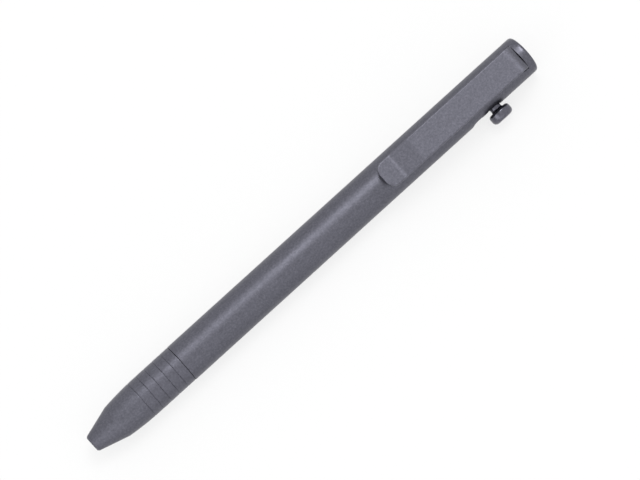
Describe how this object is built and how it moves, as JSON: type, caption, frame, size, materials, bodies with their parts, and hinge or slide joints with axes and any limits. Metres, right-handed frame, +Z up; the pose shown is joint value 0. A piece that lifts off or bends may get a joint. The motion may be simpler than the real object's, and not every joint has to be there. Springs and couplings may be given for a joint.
{
  "type": "bolt action pen",
  "caption": "Turned metal pen with a grooved grip, a strap clip and a side bolt that slides and turns to put out a gel refill.",
  "frame": {"origin": "on the table, under the middle of the pen's box", "axes": "+X along the pen from the nose to the cap end, +Z straight up from the table, with the clip on top, and -Y level, to the side of the bolt's knob. The pen lies rolled by 17.6 degrees, on its barrel and the rim of its knob."},
  "size_m": [0.142, 0.0141, 0.0134],
  "materials": {
    "blasted_titanium": "bead-blasted dark grey titanium",
    "turned_titanium": "turned bare titanium",
    "stainless_steel": "bright stainless steel",
    "black_rubber": "matt black nitrile rubber",
    "white_plastic": "white moulded plastic",
    "clear_plastic": "milky moulded polypropylene",
    "black_ink": "wet black gel ink",
    "amber_grease": "clear amber grease",
    "nickel_silver": "bright nickel silver"
  },
  "bodies": {
    "barrel": {"barrel": "blasted_titanium", "grip_section": "blasted_titanium", "grip_o_ring": "black_rubber", "end_plug": "turned_titanium", "clip_screw": "stainless_steel", "return_spring": "stainless_steel"},
    "clip": {"clip": "blasted_titanium"},
    "refill": {"refill_tube": "clear_plastic", "refill_ink": "black_ink", "refill_follower": "amber_grease", "refill_tip_holder": "clear_plastic", "refill_cone": "nickel_silver", "refill_ball": "stainless_steel", "refill_ball_spring": "stainless_steel", "refill_end_plug": "white_plastic"},
    "bolt": {"bolt_carrier": "turned_titanium", "bolt_knob": "blasted_titanium", "carrier_o_ring_front": "black_rubber", "carrier_o_ring_rear": "black_rubber", "thrust_pad": "white_plastic"}
  },
  "joints": [
    {"name": "bolt_slide", "type": "slide", "parent": "barrel", "child": "refill", "axis": [-1, 0, 0], "range_m": [0, 0.0056], "stiffness_N_per_m": 180, "springref_m": -0.005, "deforming": ["return_spring"]},
    {"name": "bolt_turn", "type": "hinge", "parent": "refill", "child": "bolt", "pos_m": [0.0566, 0.00185, 0.0052], "axis": [1, 0, 0], "range_deg": [0, 29]},
    {"name": "clip_flex", "type": "hinge", "parent": "barrel", "child": "clip", "pos_m": [0.06798, 0.00069, 0.00887], "axis": [0, 0.953, 0.3029], "range_deg": [0, 2], "stiffness_Nm_per_rad": 4.8, "springref_deg": -0.29}
  ]
}
